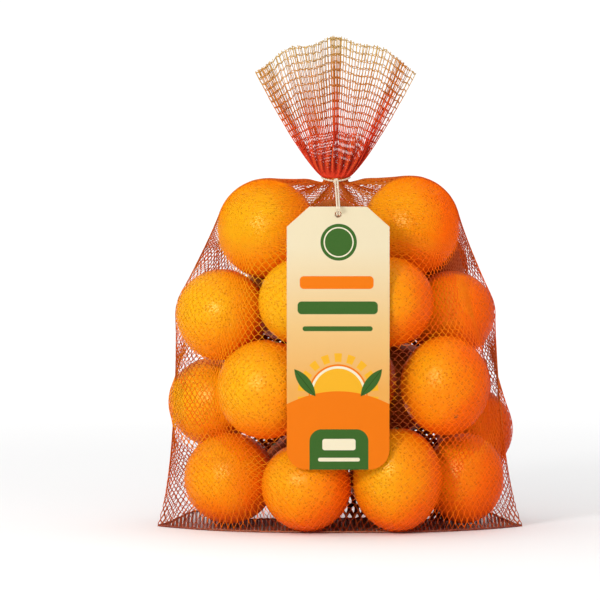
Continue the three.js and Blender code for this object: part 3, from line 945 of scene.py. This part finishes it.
def peel_material():
    """Orange peel: pores with painted shade in their pits, pale and deep patches, painted light and shade by
    the side each part faces, painted shade on the hidden oranges inside the bag, and the marks at both ends.
    """
    shader = Shader("peel")
    pores = shader.node(
        "ShaderNodeTexVoronoi",
        {"Vector": shader.place, "Scale": 1 / (2.2 * MM), "Randomness": 0.9},
    )
    pit = shader.smooth(pores.outputs["Distance"], 0.08, 0.46)
    patches = shader.noise(26, 3)
    base = peel_colour(shader)
    # Painted shade inside the bag: the hidden oranges are darkened where they face the front
    base = shader.mix(shader.smooth(shader.value("inside"), 0.2, 1, 0, 0.8), base, colour(0.16, 0.01, 0.002))
    # Painted shade: the pore pits are darkened in colour
    pit_shaded = shader.mix(shader.smooth(pit, 0, 1, 0.42, 0), base, colour(0.45, 0.05, 0.001))
    blossom = shader.smooth(shader.value("blossom"), 1, 2.6, 0.8, 0)
    marked = shader.mix(blossom, pit_shaded, colour(0.28, 0.09, 0.02))
    stem = shader.smooth(shader.value("stem"), 2.4, 3.6, 1, 0)
    stemmed = shader.mix(stem, marked, colour(0.2, 0.19, 0.05))
    grain = shader.noise(0.6, 2)
    relief = shader.math("ADD", pit, shader.math("MULTIPLY", grain, 0.35))
    return shader.finish(
        Base_Color=stemmed,
        Roughness=shader.smooth(patches, 0.3, 0.7, 0.21, 0.27),
        Specular_IOR_Level=0.07,
        Normal=shader.bump(relief, 0.5),
    )


def net_material():
    """Knitted plastic thread: red at the neck with painted highlights on the crests of the gathers, like the
    peel on the fruit with its painted light and shade, painted dark as shade on the back's folds, and
    painted darker as shade where it is open.
    """
    shader = Shader("net")
    base = shader.ramp(
        shader.value("neck"),
        [
            (0, (0.66, 0.14, 0.015)),
            (0.2, (0.72, 0.2, 0.01)),
            (0.5, (0.7, 0.1, 0.008)),
            (0.8, (0.5, 0.02, 0.006)),
        ],
    )
    # Painted highlight: the crests of the gathers by the neck are lighter orange
    crested = shader.math("MULTIPLY", shader.value("crest"), shader.value("neck"))
    lit = shader.mix(crested, base, colour(0.8, 0.25, 0.015))
    ridged = shader.mix(shader.value("ridge"), lit, colour(0.8, 0.2, 0.008))
    varied = shader.mix(shader.math("MULTIPLY", shader.noise(4, 2), 0.4), ridged, colour(0.45, 0.06, 0.015))
    # Painted shade: fold threads are darkened on the side that faces into the bag
    inward = shader.smooth(shader.facing_back(), -0.1, 0.3, 1, 0)
    shaded = shader.math("MULTIPLY", shader.value("fold"), inward)
    folded = shader.mix(shaded, varied, colour(0.1, 0.008, 0.004))
    # The threads take the peel's colour, with its painted light and shade, painted 12% lighter to offset
    # their own shading
    peel = shader.mix(1.0, peel_colour(shader), colour(1.12, 1.12, 1.12), "MULTIPLY")
    near_peel = shader.mix(shader.value("touch"), folded, peel)
    # Painted shade: threads in front with no seen orange behind are darker and duller
    open_shade = shader.math("MULTIPLY", shader.value("open"), 0.75)
    return shader.finish(
        Base_Color=shader.mix(open_shade, near_peel, colour(0.34, 0.05, 0.02)),
        Roughness=0.5,
        Specular_IOR_Level=0.01,
        Normal=shader.bump(shader.noise(0.35, 1), 0.05),
    )


def fan_material():
    """The fan's thread: pale at its top edge, then orange, and deep red at the string, with painted
    highlights on the crests of its pleats and painted shade between them.
    """
    shader = Shader("fan")
    wander = shader.math("MULTIPLY", shader.noise(9, 2), 0.3)
    redness = shader.math("ADD", shader.value("redness"), shader.math("SUBTRACT", wander, 0.15))
    base = shader.ramp(
        redness,
        [
            (0.0, (0.6, 0.38, 0.12)),
            (0.22, (0.6, 0.25, 0.05)),
            (0.45, (0.56, 0.14, 0.02)),
            (0.68, (0.68, 0.07, 0.012)),
            (0.88, (0.64, 0.032, 0.01)),
        ],
    )
    # Painted highlight on the pleats' crests and painted shade in the valleys between them
    crest = shader.mix(shader.smooth(shader.value("pleat"), 0.3, 1, 0, 0.6), base, colour(0.75, 0.12, 0.02))
    valley_shade = shader.smooth(shader.value("pleat"), -0.7, 0, 0.85, 0)
    return shader.finish(
        Base_Color=shader.mix(valley_shade, crest, colour(0.3, 0.01, 0.004)),
        Roughness=0.6,
        Specular_IOR_Level=0.1,
        Normal=shader.bump(shader.noise(0.35, 1), 0.05),
    )


def hem_material():
    """The rolled hem: dark red, in short stitches."""
    shader = Shader("hem")
    stitches = shader.noise(1.4, 2)
    base = shader.ramp(stitches, [(0.3, (0.09, 0.007, 0.003)), (0.7, (0.34, 0.035, 0.01))])
    return shader.finish(Base_Color=base, Roughness=0.6, Normal=shader.bump(stitches, 0.25))


def twine_material():
    """Cream cotton with fine fibres."""
    shader = Shader("twine")
    fibres = shader.noise(0.4, 3)
    base = shader.ramp(fibres, [(0.25, (0.62, 0.5, 0.34)), (0.7, (0.88, 0.8, 0.65))])
    return shader.finish(Base_Color=base, Roughness=0.9, Normal=shader.bump(fibres, 0.12))


def card_material(low, middle):
    """Printed card. The print is plain shapes, placed from the card's bottom and its middle."""
    shader = Shader("card")
    place = shader.split(shader.place)
    x = shader.math("MULTIPLY_ADD", place[0], 1 / MM, -middle)
    z = shader.math("MULTIPLY_ADD", place[2], 1 / MM, -low)

    def inside(distance, edge=0.12):
        return shader.smooth(distance, -edge, edge, 1, 0)

    def away(from_x, from_z):
        return shader.math("SUBTRACT", x, from_x), shader.math("SUBTRACT", z, from_z)

    def length(a, b):
        squares = shader.math("MULTIPLY_ADD", a, a, shader.math("MULTIPLY", b, b))
        return shader.math("SQRT", squares)

    def disc(at_x, at_z, radius):
        return inside(shader.math("SUBTRACT", length(*away(at_x, at_z)), radius))

    def bar(at_x, at_z, half_width, half_height, corner):
        a, b = away(at_x, at_z)
        out_x = shader.math("SUBTRACT", shader.math("ABSOLUTE", a), half_width - corner)
        out_z = shader.math("SUBTRACT", shader.math("ABSOLUTE", b), half_height - corner)
        past = length(shader.math("MAXIMUM", out_x, 0.0), shader.math("MAXIMUM", out_z, 0.0))
        return inside(shader.math("SUBTRACT", past, corner))

    def leaf(at_x, at_z, angle, half_length, half_width):
        a, b = away(at_x, at_z)
        c, s = math.cos(angle), math.sin(angle)
        u = shader.math("MULTIPLY_ADD", a, c, shader.math("MULTIPLY", b, s))
        v = shader.math("MULTIPLY_ADD", b, c, shader.math("MULTIPLY", a, -s))
        radius = (half_length**2 + half_width**2) / (2 * half_width)
        far = shader.math("ADD", shader.math("ABSOLUTE", v), radius - half_width)
        blade = inside(shader.math("SUBTRACT", length(u, far), radius))
        vein = inside(shader.math("SUBTRACT", shader.math("ABSOLUTE", v), 0.3))
        return blade, vein

    cream = shader.ramp(
        shader.math("DIVIDE", z, TAG_HEIGHT),
        [(0.3, (0.7, 0.34, 0.08)), (0.55, (0.7, 0.46, 0.19)), (0.85, (0.69, 0.6, 0.41))],
    )
    green, deep_green = colour(0.03, 0.11, 0.02), colour(0.015, 0.06, 0.01)
    orange, yellow = colour(0.72, 0.16, 0.004), colour(0.75, 0.38, 0.02)
    pale = colour(0.74, 0.68, 0.5)

    print_layers = [
        (disc(0.4, 185, 14.8), green),
        (disc(0.4, 185, 12.2), pale),
        (disc(0.4, 185, 11.2), green),
        (bar(-1.2, 152.5, 30, 5.2, 3.4), orange),
        (bar(-0.4, 132, 32.6, 5.2, 3.4), green),
        (bar(-0.4, 115, 28.5, 2, 2), green),
    ]
    a, b = away(0, 62)
    turn = shader.math("MULTIPLY", shader.math("ARCTAN2", b, a), 9)
    ray = shader.math("ABSOLUTE", shader.math("SINE", turn))
    far = length(a, b)
    rays = shader.math("MULTIPLY", inside(shader.math("SUBTRACT", far, 33)), shader.smooth(ray, 0.6, 0.68))
    rays = shader.math("MULTIPLY", rays, shader.smooth(far, 25.8, 26.1))
    print_layers += [(rays, yellow), (disc(0, 62, 24), orange), (disc(0, 62, 22.5), pale)]
    print_layers += [(disc(0, 62, 20.5), yellow)]
    hill = shader.math("SUBTRACT", z, shader.math("MULTIPLY_ADD", shader.math("MULTIPLY", x, x), -0.006, 64))
    print_layers.append((inside(hill), orange))
    for side in (-1, 1):
        blade, vein = leaf(side * 27, 71, math.radians(90 - side * 38), 14, 4.6)
        print_layers += [(blade, green), (shader.math("MULTIPLY", blade, vein), deep_green)]
    print_layers += [
        (bar(0.7, 12, 24, 21, 10), green),
        (bar(0.7, 20.5, 13.5, 4.6, 2), pale),
        (bar(0.7, 8.2, 17, 1.5, 1.5), pale),
    ]
    printed = cream
    for mask, ink in print_layers:
        printed = shader.mix(mask, printed, ink)
    front = shader.smooth(shader.facing_back(), -0.6, -0.4, 1, 0)
    fibres = shader.noise(1.1, 4)
    grey = shader.math("MULTIPLY", fibres, 0.5)
    stock = shader.mix(grey, colour(0.8, 0.73, 0.58), colour(0.66, 0.58, 0.43))
    base = shader.mix(front, stock, printed)
    return shader.finish(
        Base_Color=shader.mix(shader.math("MULTIPLY", fibres, 0.05), base, colour(0.4, 0.22, 0.1)),
        Roughness=shader.smooth(fibres, 0.3, 0.7, 0.5, 0.62),
        Specular_IOR_Level=0.02,
        Normal=shader.bump(fibres, 0.03),
    )


def floor_material():
    """Plain pale floor, which fades into an evenly lit backdrop away from the object."""
    shader = Shader("floor")
    base = shader.mix(shader.noise(400, 2), colour(0.86, 0.86, 0.86), colour(0.89, 0.89, 0.89))
    from_middle = shader.node("ShaderNodeVectorMath", {0: shader.place}, operation="LENGTH")
    glow = shader.smooth(from_middle.outputs["Value"], FLOOR_FADE[0] * MM, FLOOR_FADE[1] * MM)
    return shader.finish(
        Base_Color=shader.mix(glow, base, colour(0, 0, 0)),
        Roughness=0.7,
        Specular_IOR_Level=0.2,
        Emission_Color=colour(1, 1, 1),
        Emission_Strength=glow,
        Normal=shader.bump(shader.noise(3, 2), 0.01),
    )


# Stage


def make_floor(material):
    half = FLOOR_HALF_WIDTH
    corners = np.array([(-half, -half, 0), (half, -half, 0), (half, half, 0), (-half, half, 0)], float)
    floor = mesh_object("floor", corners, [np.array([[0, 1, 2, 3]])], material)


def make_lights():
    world = bpy.data.worlds.new("studio")
    bpy.context.scene.world = world
    world.use_nodes = True
    tree = world.node_tree
    background = tree.nodes["Background"]
    place = tree.nodes.new("ShaderNodeTexCoord")
    split = tree.nodes.new("ShaderNodeSeparateXYZ")
    sky = tree.nodes.new("ShaderNodeValToRGB")
    bands = sky.color_ramp.elements
    while len(bands) < len(SKY):
        bands.new(0.5)
    brightest = max(strength for _, strength in SKY)
    for band, (height, strength) in zip(bands, SKY):
        band.position = height
        band.color = (*[strength / brightest] * 3, 1)
    tree.links.new(place.outputs["Generated"], split.inputs[0])
    tree.links.new(split.outputs["Z"], sky.inputs[0])
    tree.links.new(sky.outputs[0], background.inputs["Color"])
    background.inputs["Strength"].default_value = brightest
    for name, direction, distance, size, power, tint, lights in LAMPS:
        lamp = bpy.data.lights.new(name, "AREA")
        lamp.shape = "DISK"
        lamp.size = size * MM
        lamp.energy = power
        lamp.color = tint
        holder = bpy.data.objects.new(name, lamp)
        away = unit(np.array(direction))
        holder.location = (LAMP_AIM + away * distance) * MM
        holder.rotation_euler = turned_to(-away)
        holder.visible_diffuse = lights == "diffuse"
        holder.visible_glossy = lights == "glossy"
        bpy.context.scene.collection.objects.link(holder)


def turned_to(direction):
    """Angles that point an object's -Z along a direction."""
    flat = math.hypot(direction[0], direction[1])
    return (math.atan2(flat, -direction[2]), 0, math.atan2(direction[1], direction[0]) - math.pi / 2)


def make_camera():
    away = np.array([0, -math.cos(CAMERA_ELEVATION), math.sin(CAMERA_ELEVATION)])
    data = bpy.data.cameras.new("camera")
    data.sensor_width = SENSOR_WIDTH
    data.lens = SENSOR_WIDTH * CAMERA_DISTANCE / VIEW_WIDTH
    data.clip_end = 200
    camera = bpy.data.objects.new("camera", data)
    camera.location = (CAMERA_AIM + away * CAMERA_DISTANCE) * MM
    camera.rotation_euler = turned_to(-away)
    bpy.context.scene.collection.objects.link(camera)
    bpy.context.scene.camera = camera


bpy.context.scene.view_settings.view_transform = "Standard"
make_camera()
make_lights()
make_floor(floor_material())

fruit = settled_oranges()
form = net_form(fruit)
knit = net_material()
rolled = hem_material()
dress(make_oranges(fruit, peel_material()), "net_bag")
for piece in make_net(form, fruit, knit):
    dress(piece, "net_bag")
# The base net under the fruit takes the hem's dark red: partly its own colour, partly painted shade under
# the fruit
dress(make_base(rolled), "net_bag")
dress(make_hem(rolled), "net_bag")
dress(make_fan(fan_material()), "net_bag")

tag_low, tag_high = [np.array(corner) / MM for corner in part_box("card_tag")]
tag_middle = (tag_low[0] + tag_high[0]) / 2
tag_back = tag_low[1] + TAG_THICKNESS
twine_piece = make_twine(tag_back, tag_high[2], tag_middle, twine_material())
dress(twine_piece, "tie_string")
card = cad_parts["card_tag"]
card.data.materials.clear()
card.data.materials.append(card_material(tag_low[2], tag_middle))
